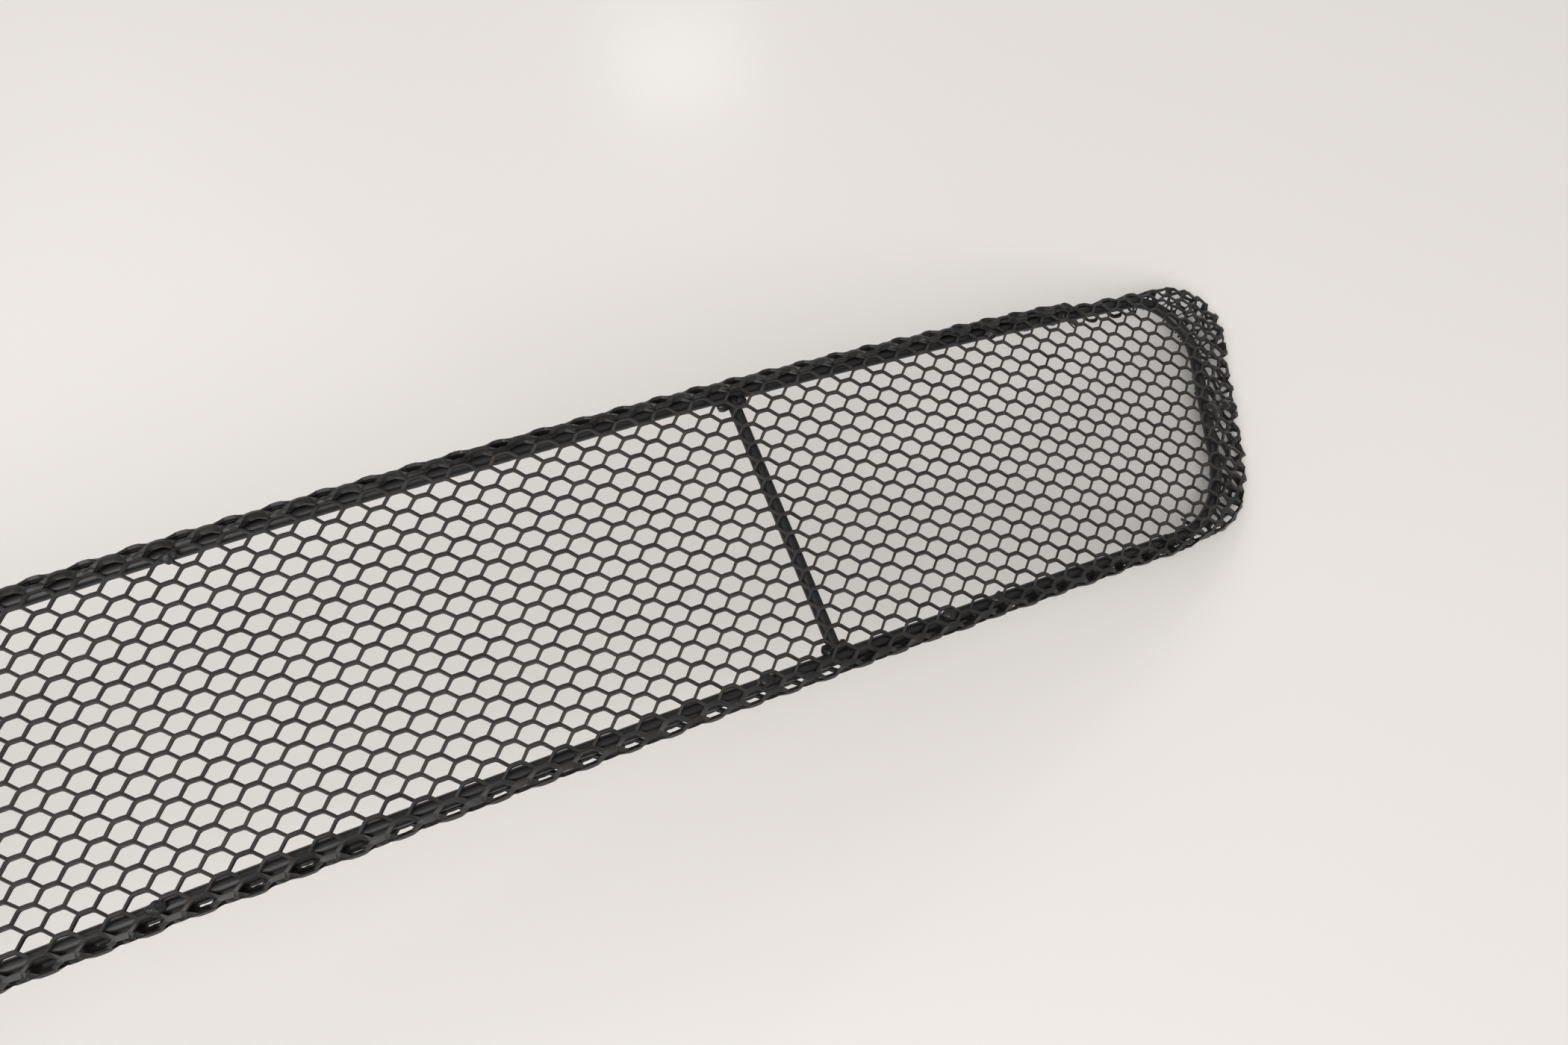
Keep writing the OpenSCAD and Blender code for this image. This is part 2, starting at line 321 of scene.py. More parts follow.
ROD_COAT = powder_coat("black_coat_on_rod", (0.0095, 0.0088, 0.0096), (0.0155, 0.0142, 0.0146),
                       0.38, 0.7, 0.05)
# The mesh's pale colour serves both its random pale patches and the painted edge highlight.
MESH_COAT = powder_coat("black_coat_on_mesh", (0.0125, 0.0110, 0.0104), (0.045, 0.0405, 0.037),
                        0.42, 0.45, 0.03, highlight_strength=0.75)
WELD_COAT = powder_coat("black_coat_on_weld", (0.010, 0.0094, 0.0100), (0.018, 0.0166, 0.0168),
                        0.33, 1.1, 0.12)

# %% [markdown]
# ## The rod frame
#
# The CAD rods are right in place and size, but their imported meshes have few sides, which shows on a
# 4 mm rod seen from close by. So each rod is swept again with 24 sides, as the same piece, and
# stands for its CAD node. The two rails follow the bow, the two end rods follow the end outline in
# the flat plane of each end, and each brace runs straight across under the mesh.


# %% Rails, end rods and braces
# A brace stops short of the rails' centre lines, inside their round.
BRACE_INSET = 1.2


def rail(name, across):
    end = BOWED_HALF - HALF_WELD_GAP
    along = np.linspace(-end, end, 161)
    verts, faces = tube(bent(along, np.full_like(along, across), 0 * along), ROD_RADIUS)
    return new_piece(name + "_rod", verts, faces, ROD_COAT, [name])


def end_rod(name, side):
    points = bent(side * (BOWED_HALF + rod_path[:, 0]), rod_path[:, 1], 0 * rod_path[:, 0])
    verts, faces = tube(points, ROD_RADIUS)
    return new_piece(name + "_bent", verts, faces, ROD_COAT, [name])


def brace(name, place):
    end = HALF_WIDTH - BRACE_INSET
    across = np.linspace(-end, end, 25)
    verts, faces = tube(bent(np.full_like(across, place), across, 0 * across), ROD_RADIUS)
    return new_piece(name + "_rod", verts, faces, ROD_COAT, [name])


rods = [rail("upper_rail", HALF_WIDTH), rail("lower_rail", -HALF_WIDTH),
        end_rod("left_end_rod", -1), end_rod("right_end_rod", 1)]
rods += [brace(name, place) for name, place in BRACE_PLACES.items()]
print("rods:", [r.name for r in rods])

# %% [markdown]
# ## Expanded mesh: one strand, repeated
#
# Expanded mesh isn't woven or welded. A press slits a sheet in staggered rows and pulls it open:
# each strip between two rows of slits becomes a zigzag strand, joined to its neighbours where it
# was never slit. Those joints are the short level bonds. Two strands lie partly over each other in
# a bond here, so it is less than twice as wide as a strand. Pulling also tips the strands, so each
# shows a bit of its cut side.
#
# So one period of one strand is the whole pattern, and Geometry Nodes repeat it: a line of nine
# points is bent into a zigzag, given a four-sided section with a tilt, put on every point of a
# grid, and every second row is shifted half a pitch. All sizes are inputs of the node tree. The
# tree makes the flat blank, before any folding, as the press does.

# %% Geometry Nodes tree for the flat blank
LONG_PITCH, SHORT_PITCH = 12.0, 6.0
STRAND_WIDTH, STRAND_THICKNESS = 0.77, 0.84
BOND_OVERLAP = 0.43
STRAND_TILT = math.radians(-20.0)
BOND_LENGTH = 3.5
STATIONS, SECTION_SIDES = 9, 4
# Height of the zigzag at each station away from its crest, as a share of its full height.
CREST_HEIGHTS = (1.0, 0.985, 0.84, 0.0, 0.0)
# Half the length of a bend between bond and slant, as a share of half the bond.
BEND_SHARE = 0.22


def build_strand_tree(material):
    tree = bpy.data.node_groups.new("expanded_mesh_blank", "GeometryNodeTree")
    socket = tree.interface.new_socket
    sizes = {"Long pitch": LONG_PITCH * MM, "Row pitch": SHORT_PITCH / 2 * MM,
             "Strand width": STRAND_WIDTH * MM, "Strand thickness": STRAND_THICKNESS * MM,
             "Strand tilt": STRAND_TILT, "Bond length": BOND_LENGTH * MM}
    socket("Geometry", in_out="INPUT", socket_type="NodeSocketGeometry")
    for label, value in sizes.items():
        socket(label, in_out="INPUT", socket_type="NodeSocketFloat").default_value = value
    for label in ("Columns", "Rows"):
        socket(label, in_out="INPUT", socket_type="NodeSocketInt").default_value = 4
    socket("Coat", in_out="INPUT", socket_type="NodeSocketMaterial").default_value = material
    socket("Geometry", in_out="OUTPUT", socket_type="NodeSocketGeometry")
    links = tree.links
    group_in = tree.nodes.new("NodeGroupInput")
    group_out = tree.nodes.new("NodeGroupOutput")
    given = group_in.outputs

    def node(kind, **settings):
        made = tree.nodes.new(kind)
        for key, value in settings.items():
            setattr(made, key, value)
        return made

    def plug(value, target):
        if hasattr(value, "links"):
            links.new(value, target)
        else:
            target.default_value = value

    def calc(operation, a, b=0.0, c=0.0):
        made = node("ShaderNodeMath", operation=operation)
        for k, value in enumerate((a, b, c)):
            plug(value, made.inputs[k])
        return made.outputs[0]

    # Nine stations along one period. They crowd at the bends: 0 to 8 become -1 to 1, then bend
    # towards the slants, so that each slant and each bond is one straight piece.
    index = node("GeometryNodeInputIndex").outputs[0]
    line = node("GeometryNodeMeshLine")
    line.inputs["Count"].default_value = STATIONS
    half_bond = calc("MULTIPLY", given["Bond length"], 0.5)
    quarter = calc("MULTIPLY", given["Long pitch"], 0.25)
    half_pitch = calc("MULTIPLY", given["Long pitch"], 0.5)
    corner = calc("MULTIPLY", half_bond, BEND_SHARE)
    from_middle = calc("ABSOLUTE", calc("SUBTRACT", index, 4.0))
    sign = calc("SIGN", calc("SUBTRACT", index, 4.0))

    def choose(values):
        """One value for each station, by its distance from the middle one."""
        switch = node("GeometryNodeIndexSwitch", data_type="FLOAT")
        while len(switch.index_switch_items) < len(values):
            switch.index_switch_items.new()
        links.new(from_middle, switch.inputs["Index"])
        for k, value in enumerate(values):
            plug(value, switch.inputs[k + 1])
        return switch.outputs[0]

    # Stations 1 to 4 away from the middle: crest bend, slant's top, slant's foot, trough middle.
    places = [0.0,
              calc("SUBTRACT", half_bond, corner),
              calc("ADD", half_bond, corner),
              calc("SUBTRACT", half_pitch, half_bond),
              half_pitch]
    x = calc("MULTIPLY", choose(places), sign)

    # Height of the zigzag: 1 on the crest, 0 in the trough. The crest's bend is cut early, which
    # rounds the upper corners of each opening, as on the pressed sheet.
    rise = choose(CREST_HEIGHTS)
    middle_gap = calc("MULTIPLY", given["Strand width"], calc("COSINE", given["Strand tilt"]))
    middle_gap = calc("MULTIPLY", middle_gap, BOND_OVERLAP)
    span = calc("SUBTRACT", given["Row pitch"], middle_gap)
    y = calc("MULTIPLY_ADD", rise, span, calc("MULTIPLY", middle_gap, 0.5))
    lift = calc("MULTIPLY", given["Strand width"], calc("SINE", given["Strand tilt"]))
    z = calc("MULTIPLY", calc("SUBTRACT", 0.5, rise), lift)
    zigzag = node("ShaderNodeCombineXYZ")
    for value, target in zip((x, y, z), zigzag.inputs):
        plug(value, target)
    set_place = node("GeometryNodeSetPosition")
    links.new(line.outputs["Mesh"], set_place.inputs["Geometry"])
    links.new(zigzag.outputs[0], set_place.inputs["Position"])
    curve = node("GeometryNodeMeshToCurve")
    links.new(set_place.outputs[0], curve.inputs["Mesh"])
    upright = node("GeometryNodeSetCurveNormal")
    try:
        upright.inputs["Mode"].default_value = "Z Up"
    except (KeyError, TypeError):
        upright.mode = "Z_UP"
    links.new(curve.outputs[0], upright.inputs["Curve"])
    tilt = node("GeometryNodeSetCurveTilt")
    links.new(upright.outputs[0], tilt.inputs["Curve"])
    links.new(given["Strand tilt"], tilt.inputs["Tilt"])
    section = node("GeometryNodeCurvePrimitiveQuadrilateral")
    links.new(given["Strand width"], section.inputs["Width"])
    links.new(given["Strand thickness"], section.inputs["Height"])
    strand = node("GeometryNodeCurveToMesh")
    links.new(tilt.outputs[0], strand.inputs["Curve"])
    links.new(section.outputs[0], strand.inputs["Profile Curve"])

    # The grid of periods: one row for each strand, every second row half a pitch further on.
    grid = node("GeometryNodeMeshGrid")
    links.new(calc("MULTIPLY", given["Long pitch"], calc("SUBTRACT", given["Columns"], 1.0)),
              grid.inputs["Size X"])
    links.new(calc("MULTIPLY", given["Row pitch"], calc("SUBTRACT", given["Rows"], 1.0)),
              grid.inputs["Size Y"])
    links.new(given["Columns"], grid.inputs["Vertices X"])
    links.new(given["Rows"], grid.inputs["Vertices Y"])
    row = calc("FLOORED_MODULO", index, given["Rows"])
    shift = node("ShaderNodeCombineXYZ")
    links.new(calc("MULTIPLY", calc("FLOORED_MODULO", row, 2.0), half_pitch), shift.inputs[0])
    stagger = node("GeometryNodeSetPosition")
    links.new(grid.outputs["Mesh"], stagger.inputs["Geometry"])
    links.new(shift.outputs[0], stagger.inputs["Offset"])
    repeat = node("GeometryNodeInstanceOnPoints")
    links.new(stagger.outputs[0], repeat.inputs["Points"])
    links.new(strand.outputs[0], repeat.inputs["Instance"])
    real = node("GeometryNodeRealizeInstances")
    links.new(repeat.outputs[0], real.inputs[0])
    finish = node("GeometryNodeSetMaterial")
    links.new(real.outputs[0], finish.inputs["Geometry"])
    links.new(given["Coat"], finish.inputs["Material"])
    links.new(finish.outputs[0], group_out.inputs[0])
    return tree


def press_blank(columns, rows):
    """Runs the tree and gives the flat blank as arrays: periods x points x 3, and faces."""
    tree = build_strand_tree(MESH_COAT)
    carrier = bpy.data.objects.new("blank", bpy.data.meshes.new("blank"))
    bpy.context.scene.collection.objects.link(carrier)
    modifier = carrier.modifiers.new("expanded mesh", "NODES")
    modifier.node_group = tree
    named = {item.name: item.identifier for item in tree.interface.items_tree
             if item.in_out == "INPUT"}
    modifier[named["Columns"]] = columns
    modifier[named["Rows"]] = rows
    modifier[named["Coat"]] = MESH_COAT
    bpy.context.view_layer.update()
    evaluated = carrier.evaluated_get(bpy.context.evaluated_depsgraph_get())
    flat = bpy.data.meshes.new_from_object(evaluated)
    carrier.modifiers.remove(modifier)
    bpy.data.objects.remove(carrier)
    points = np.zeros(len(flat.vertices) * 3)
    flat.vertices.foreach_get("co", points)
    periods = points.reshape(-1, STATIONS * SECTION_SIDES, 3) / MM
    corners = np.zeros(len(flat.loops), int)
    flat.loops.foreach_get("vertex_index", corners)
    faces = corners.reshape(len(periods), -1, 4)[0]
    bpy.data.meshes.remove(flat)
    return periods, faces


BLANK_COLUMNS, BLANK_ROWS = 92, 60
blank, strand_faces = press_blank(BLANK_COLUMNS, BLANK_ROWS)
print(f"blank: {len(blank)} periods of {blank.shape[1]} points and {len(strand_faces)} faces, "
      f"{np.ptp(blank[..., 0]):.0f} x {np.ptp(blank[..., 1]):.0f} mm, "
      f"strand {np.ptp(blank[0, :, 2]):.2f} mm high")

# %% [markdown]
# ## Laying the blank over the frame
#
# The blank is centred along the frame, and across it `ROW_PLACE` says how the rows lie between the
# rails. Nobody cuts or pulls mesh perfectly straight by hand, so its rows sway by up to a
# millimetre over a hand's width, and no two cells are quite alike. The sway is a sum of slow sines
# with a fixed seed, and a finer one is laid over it. Both depend only on the place, so strands that
# touch stay joined.


# %% Place and sway
def smooth_noise(points, scale, seed):
    """A smooth field of values from -1 to 1 over points, as a sum of sines."""
    rng = np.random.default_rng(seed)
    total = np.zeros(points.shape[:-1])
    for _ in range(7):
        direction = rng.normal(size=points.shape[-1])
        direction /= np.linalg.norm(direction)
        phase, wave = rng.uniform(0, 2 * math.pi), scale * rng.uniform(0.7, 1.6)
        total += np.sin((points @ direction) * 2 * math.pi / wave + phase)
    return total / 3.2


ROW_PLACE = 1.43
SLOW_SWAY, FINE_SWAY = (0.45, 0.40), (0.10, 0.09)
middle_row = (BLANK_ROWS - 1) // 2
blank[..., 1] += ROW_PLACE - SHORT_PITCH / 2 * (-(BLANK_ROWS - 1) / 2 + middle_row)
centre_x = round(blank[..., 0].mean() / LONG_PITCH) * LONG_PITCH
blank[..., 0] -= centre_x
flat_xy = blank[..., :2].copy()
for axis, wave, seed in ((0, 150, 11), (1, 170, 13)):
    blank[..., axis] += (SLOW_SWAY[axis] * smooth_noise(flat_xy, wave, seed)
                         + FINE_SWAY[axis] * smooth_noise(flat_xy, 14, seed + 1))
sway = np.abs(blank[..., 0] - flat_xy[..., 0]).max()
print("sway along the grille:", round(float(sway), 2), "mm")

# %% [markdown]
# ## Folding the margins
#
# Past the rods the sheet is folded by hand and pliers, in three ways.
#
# - Longer rail: the margin is rolled tight round the rod in three layers, so the squashed cells
#   make a scaly rope.
# - Shorter rail: a looser loop stands off the rod. Its cut edge is rolled up inside it, except in
#   two runs, where the loop is left open and lets light through.
# - End rods: the sheet runs on for some 17 mm and is folded back behind itself, a flat flange of
#   small crossed openings whose cut edge has a short tuck.
#
# Each is a path seen from the side. A point that lies `d` outside the rods travels that far along
# the path, a little less because pressed mesh gathers. Past the joints the hems blend into the
# flange. The rule only uses the distance from the outline, so corners bunch up by themselves, as
# real mesh does when it is folded round a curve.
#
# The rule isn't tested against the rods: some flange strands run up to 1.8 mm into an end rod.


# %% Folding rule
# Radius of the flange's tuck, and the tucked layer's length as a share of the flange's.
INNER_TURN, INNER_LAYER = 0.55, 0.20
# The flange's fold: how far inside the outline its middle lies, its smallest and largest radius,
# and how fast the radius falls with width, since a wide flange is pressed flatter.
FOLD_INSET = 0.6
FOLD_RADII, FOLD_RADIUS_FALL = (1.25, 2.6), 0.10
ARC_STEPS = 24


def fold_profile(d, width, front_height, fold_radius):
    """Where a point d outside the rods ends up: distance out, and height over the rods."""
    run = np.maximum(width - fold_radius, 0.0)
    share = np.clip(d / np.maximum(run, 1e-6), 0.0, 1.0)
    ease = np.where(run > 6.0, share * share * (3 - 2 * share), 0.0)
    middle = -(LAYER_HEIGHT - fold_radius)
    top = front_height + (middle + fold_radius - front_height) * ease
    turn = np.clip((d - run) / fold_radius, 0.0, math.pi)
    back = np.maximum(d - run - math.pi * fold_radius, 0.0)
    out = np.where(d <= run, d, run + fold_radius * np.sin(turn) - back)
    height = np.where(d <= run, top, middle + fold_radius * np.cos(turn))
    # A wide flange has its cut edge tucked in: a second, tight turn behind the rod.
    tucked = (run > 5.5) & (back > run - 0.5)
    past = np.maximum(back - (run - 0.5), 0.0)
    turn = np.clip(past / INNER_TURN, 0.0, math.pi)
    inward = np.maximum(past - math.pi * INNER_TURN, 0.0)
    out = np.where(tucked, 0.5 - INNER_TURN * np.sin(turn) + inward, out)
    height = np.where(tucked, middle - fold_radius + INNER_TURN * (1 - np.cos(turn)), height)
    return out, height


UPPER_LAYERS = (2.42, 3.15, 3.95)
BACK_RUN = 0.4
OVERLAP_TURN = math.radians(12)
GATHER_UPPER, GATHER_LOWER, GATHER_FLANGE = 0.80, 0.80, 0.86


def add_arc(points, centre, radius, start, end):
    for k in range(1, ARC_STEPS + 1):
        a = start + (end - start) * k / ARC_STEPS
        points.append((centre[0] + radius * math.sin(a), centre[1] + radius * math.cos(a)))


def lower_hem_path():
    """The shorter rail's loop, with the cut edge rolled up inside it where it is tight."""
    centre, inside, back = LOWER_LOOP - LOOP_TRIM, 1.8, 0.9
    points = [(0.0, LAYER_HEIGHT), (centre, LAYER_HEIGHT)]
    add_arc(points, (centre, 0), LAYER_HEIGHT, 0, math.pi)
    points.append((back, -LAYER_HEIGHT))
    turn_place = -(LAYER_HEIGHT + inside) / 2
    add_arc(points, (back, turn_place), (LAYER_HEIGHT - inside) / 2, math.pi, 2 * math.pi)
    add_arc(points, (centre, 0), inside, math.pi, 0.25 * math.pi)
    return np.array(points)


def rolled_hem_path():
    """The longer rail's hem from the front, as points (distance out, height): three layers."""
    inner, middle, outer = UPPER_LAYERS
    turn_back, turn_front = (middle - inner) / 2, (outer - middle) / 2
    points = [(0.0, LAYER_HEIGHT)]
    add_arc(points, (0, 0), inner, math.radians(8), math.pi)
    points.append((-BACK_RUN, -inner))
    add_arc(points, (-BACK_RUN, -(inner + middle) / 2), turn_back, 2 * math.pi, math.pi)
    points.append((0.0, -middle))
    add_arc(points, (0, 0), middle, math.pi, OVERLAP_TURN)
    edge = (middle + outer) / 2
    add_arc(points, (edge * math.sin(OVERLAP_TURN), edge * math.cos(OVERLAP_TURN)), turn_front,
            OVERLAP_TURN - math.pi, OVERLAP_TURN)
    add_arc(points, (0, 0), outer, OVERLAP_TURN, math.radians(165))
    return np.array(points)


def lengths_along(path):
    """Distance travelled along a path at each of its points."""
    return np.concatenate([[0], np.cumsum(np.hypot(*np.diff(path, axis=0).T))])


HEM_PATH = rolled_hem_path()
HEM_LENGTHS = lengths_along(HEM_PATH)
# Where the outer layer of the longer rail's roll begins.
OUTER_FROM = HEM_LENGTHS[len(HEM_PATH) - ARC_STEPS - 1]
UPPER_MARGIN = HEM_LENGTHS[-1] / GATHER_UPPER
LOOP_PATH = lower_hem_path()
LOOP_LENGTHS = lengths_along(LOOP_PATH)
# Where the shorter rail's loop ends and its rolled-up edge begins.
ROLL_FROM = LOOP_LENGTHS[ARC_STEPS + 2]
LOWER_MARGIN = LOOP_LENGTHS[-1] / GATHER_LOWER
OPEN_MARGIN = ROLL_FROM / GATHER_LOWER
# Runs of open loop along the shorter rail: middle and half length.
OPEN_RUNS = ((252.0, 68.0), (-268.0, 60.0))


def openness(x):
    """1 where the shorter rail's hem is left as an open loop, 0 where it is rolled tight."""
    runs = [np.clip(1.5 - np.abs(x - middle) / half, 0, 1) for middle, half in OPEN_RUNS]
    return np.maximum(*runs)


def rolled_hem(d, upper):
    """Where a point d outside a rail's rod lies in that rail's hem."""
    travel = np.clip(d, 0, None)
    return [np.where(upper, np.interp(travel, HEM_LENGTHS, HEM_PATH[:, k]),
                     np.interp(travel, LOOP_LENGTHS, LOOP_PATH[:, k])) for k in (0, 1)]


def fold_width(foot_x, foot_y, nx, ny):
    """How far the flange's fold lies outside the end rod, along the outward direction."""
    width = np.full_like(foot_x, 10.0)
    for _ in range(8):
        far, _, _ = FOLD_END.distance(foot_x + nx * width, foot_y + ny * width)
        width = width - far
    return width


def flange_size(foot_x, foot_y, nx, ny):
    """Width of the flange to the middle of its sheet, and the radius of its fold."""
    width = fold_width(foot_x, foot_y, nx, ny) - FOLD_INSET
    tight, loose = FOLD_RADII
    return width, np.clip(loose - (width - loose) * FOLD_RADIUS_FALL, tight, loose)


def folded(x, y):
    """Where points of the swayed blank lie once folded: foot on the rods, way out, out, height."""
    reach = np.abs(x)
    past = np.maximum(reach - BOWED_HALF, 0.0)
    d_end, nx, ny = ROD_END.distance(past, y)
    in_end = reach > BOWED_HALF
    d = np.where(in_end, d_end, np.abs(y) - HALF_WIDTH)
    nx = np.where(in_end, nx, 0.0)
    ny = np.where(in_end, ny, np.sign(y))
    outside = d > 0
    foot_x, foot_y = past - nx * d, y - ny * d

    width, flange_radius = flange_size(foot_x, foot_y, nx, ny)
    # Past the joints the two hems blend into the flange's rule over 14 mm.
    blend = np.clip((reach - BOWED_HALF - 5.0) / 14.0, 0.0, 1.0)
    blend = blend * blend * (3 - 2 * blend)
    upper = y > 0
    rail_width = np.where(upper, LAYER_HEIGHT, LAYER_HEIGHT + LOWER_LOOP - LOOP_TRIM)
    gather = np.where(upper, GATHER_UPPER, GATHER_LOWER)
    gathered = np.where(outside, d * (gather + (GATHER_FLANGE - gather) * blend), d)
    hem_width = rail_width + (width - rail_width) * blend
    radius = np.where(in_end, flange_radius, LAYER_HEIGHT)
    out, height = fold_profile(gathered, np.maximum(hem_width, radius), LAYER_HEIGHT, radius)
    hem_out, hem_height = rolled_hem(gathered, upper)
    share = 1 - blend
    out = out + (hem_out - out) * share
    height = height + (hem_height - height) * share
    out = np.where(outside, out, 0.0)
    height = np.where(outside, height, LAYER_HEIGHT)
    return foot_x, foot_y, nx, ny, out, height, outside, d, hem_width, radius


def margin_at(foot_x, foot_y, nx, ny, x, upper):
    """How much sheet is left outside the rods before its cut edge."""
    width, radius = flange_size(foot_x, foot_y, nx, ny)
    flange = 2 * (width - radius) + math.pi * radius + np.where(width < 5, HEM_RETURN, -0.5)
    tuck = math.pi * INNER_TURN + INNER_LAYER * (width - radius)
    flange = flange + np.where(width > 8, tuck, 0.0)
    flange = flange / GATHER_FLANGE
    lower = np.where(openness(x) > 0.5, OPEN_MARGIN, LOWER_MARGIN)
    return np.where(np.abs(x) > BOWED_HALF + 10, flange, np.where(upper, UPPER_MARGIN, lower))


print(f"upper hem takes {UPPER_MARGIN:.1f} mm of sheet, lower hem {LOWER_MARGIN:.1f} mm")

# %% [markdown]
# ## Bending the strands
#
# A strand's own thickness must follow the fold, or its section would shear flat round the bend. So
# each point is folded five times: once on the sheet's middle, and a little to each of its four
# sides, to find which way the folded sheet faces there. The strand's height is then laid along that
# direction. Loose parts of the margins also get some unevenness: the flanges are bent by hand, and
# their layers wander by some tenths of a millimetre.


# %% Form the whole sheet
# How far bonds stand proud of a folded sheet.
PROUD_END, PROUD_UPPER, PROUD_LOWER = 0.15, 0.50, 0.16
# How far loose parts wander: flange along, across and in height; lower hem across and in height.
FLANGE_WANDER, LOWER_WANDER, PANEL_WAVE = (0.38, 0.42, 0.30), (0.18, 0.16), 0.10
# How much wider pressed strands are than free ones.
UPPER_PRESS, OUTER_LAYER_PRESS = 2.3, 1.45
LOWER_PRESS, LOWER_UNEVEN, ROLLED_UP_PRESS, OPEN_LOOP_PRESS = 1.65, 0.20, 1.15, 0.30
FLANGE_PRESS, NEAR_FOLD_PRESS, LOW_CORNER_PRESS, FLANGE_UNEVEN = 1.35, 0.85, 0.8, 0.15


def sheet_place(x, y):
    """Place at rest of the sheet's middle surface at a blank point, without strand height."""
    foot_x, foot_y, nx, ny, out, height, outside, d, width, _ = folded(x, y)
    reach = np.abs(x)
    in_end = reach > BOWED_HALF
    side_along = np.where(in_end, foot_x + nx * out, 0.0)
    across = np.where(outside, foot_y + ny * out, y)
    along = np.where(in_end, BOWED_HALF + side_along, reach)
    # The level bonds of a folded sheet stand proud and its slants cut the corner.
    bonds = -np.cos(math.pi * x / 6.0) * np.cos(math.pi * (y - ROW_PLACE) / 3.0)
    amount = np.where(in_end, PROUD_END, np.where(y > 0, PROUD_UPPER, PROUD_LOWER))
    proud = np.where(outside, amount * np.clip(d / 2.0, 0, 1) * bonds, 0.0)
    length = np.maximum(np.hypot(out, height), 1e-6)
    across = across + ny * proud * out / length
    along = along + np.where(in_end, nx * proud * out / length, 0.0)
    height = height + proud * height / length
    plain_end = in_end & ~outside
    along = np.where(plain_end, reach, along)
    loose = np.where(outside, np.clip(d / 3.0, 0, 1), 0.0)
    flange = loose * np.clip((width - 4.0) / 4.0, 0, 1) * in_end
    seedy = np.stack([x, y], axis=-1)
    along = along + flange * FLANGE_WANDER[0] * smooth_noise(seedy, 12, 31)
    across = across + flange * FLANGE_WANDER[1] * smooth_noise(seedy, 12, 32)
    height = height + flange * FLANGE_WANDER[2] * smooth_noise(seedy, 13, 33)
    rail_hem = loose * (1 - np.clip((width - 4.0) / 4.0, 0, 1) * in_end)
    lower_hem = rail_hem * (y < 0)
    across = across + lower_hem * LOWER_WANDER[0] * smooth_noise(seedy, 16, 34)
    height = height + lower_hem * LOWER_WANDER[1] * smooth_noise(seedy, 12, 35)
    height = height + PANEL_WAVE * smooth_noise(seedy, 60, 36) * (1 - loose)
    return bent(np.where(x < 0, -along, along), across, height)


def form_sheet(points):
    """Places of all strand points at rest, with their height along the folded sheet's face."""
    x, y, z = points[..., 0], points[..., 1], points[..., 2]
    here = sheet_place(x, y)
    step = 0.15
    ahead = sheet_place(x + step, y) - sheet_place(x - step, y)
    beside = sheet_place(x, y + step) - sheet_place(x, y - step)
    face = np.cross(ahead, beside)
    face /= np.maximum(np.linalg.norm(face, axis=-1), 1e-9)[..., None]
    return here + face * z[..., None]


def outside_of_rods(x, y):
    """Distance outside, sheet left there, if outside, if past a joint, and the fold's place."""
    foot_x, foot_y, nx, ny, _, _, outside, d, width, radius = folded(x, y)
    left = margin_at(foot_x, foot_y, nx, ny, x, y > 0)
    fold_at = (width + (math.pi / 2 - 1) * radius) / GATHER_FLANGE
    return d, left, outside, np.abs(x) > BOWED_HALF, fold_at


# Pliers and hammer flatten the strands where the sheet is folded, so they are wider there.
rings = blank.reshape(len(blank), STATIONS, SECTION_SIDES, 3)
ring_centres = rings.mean(axis=2, keepdims=True)
ring_xy = ring_centres[:, :, 0, :2]
along, across = ring_xy[..., 0], ring_xy[..., 1]
r_d, _, _, r_end, r_fold = outside_of_rods(along, across)
outer_layer = np.clip((r_d * GATHER_UPPER - OUTER_FROM) / 0.8, 0, 1)
upper_press = UPPER_PRESS + (OUTER_LAYER_PRESS - UPPER_PRESS) * outer_layer
slow = smooth_noise(ring_xy[..., :1], 90, 61)
rolled_up = np.clip((r_d * GATHER_LOWER - ROLL_FROM) / 0.8, 0, 1)
lower_press = (LOWER_PRESS + LOWER_UNEVEN * slow + ROLLED_UP_PRESS * rolled_up
               + OPEN_LOOP_PRESS * openness(along))
near_fold = np.clip(1.4 - np.abs(r_d - r_fold) / 3.0, 0, 1)
low_corner = np.clip((-across - 24.0) / 12.0, 0, 1)
flange_press = (FLANGE_PRESS + NEAR_FOLD_PRESS * near_fold + LOW_CORNER_PRESS * low_corner
                + FLANGE_UNEVEN * smooth_noise(ring_xy, 9, 62))
squash = np.where(r_end, flange_press, np.where(across > 0, upper_press, lower_press))
squash = 1 + (squash - 1) * np.clip(np.where(r_end, (r_d - 2.0) / 4.0, r_d / 2.0), 0, 1)
widened = np.stack([squash, squash, np.ones_like(squash)], axis=-1)[:, :, None, :]
pressed = (ring_centres + (rings - ring_centres) * widened).reshape(blank.shape)

# The sheet is cut segment by segment: eight to a period, each between two stations.
middles = (ring_centres[:, 1:, 0] + ring_centres[:, :-1, 0]) / 2
s_d, s_left, s_outside, s_end, _ = outside_of_rods(middles[..., 0], middles[..., 1])
segment_part = np.full(middles.shape[:2], "mesh_panel", dtype=object)
segment_part[s_outside & ~s_end & (middles[..., 1] > 0)] = "upper_hem"
segment_part[s_outside & ~s_end & (middles[..., 1] <= 0)] = "lower_hem"
segment_part[s_outside & s_end & (middles[..., 0] > 0)] = "right_end_flange"
segment_part[s_outside & s_end & (middles[..., 0] < 0)] = "left_end_flange"
segment_part[s_d >= s_left] = "offcut"
formed = form_sheet(pressed)
print({name: int((segment_part == name).sum()) for name in sorted(set(segment_part.flat))},
      "strand segments")
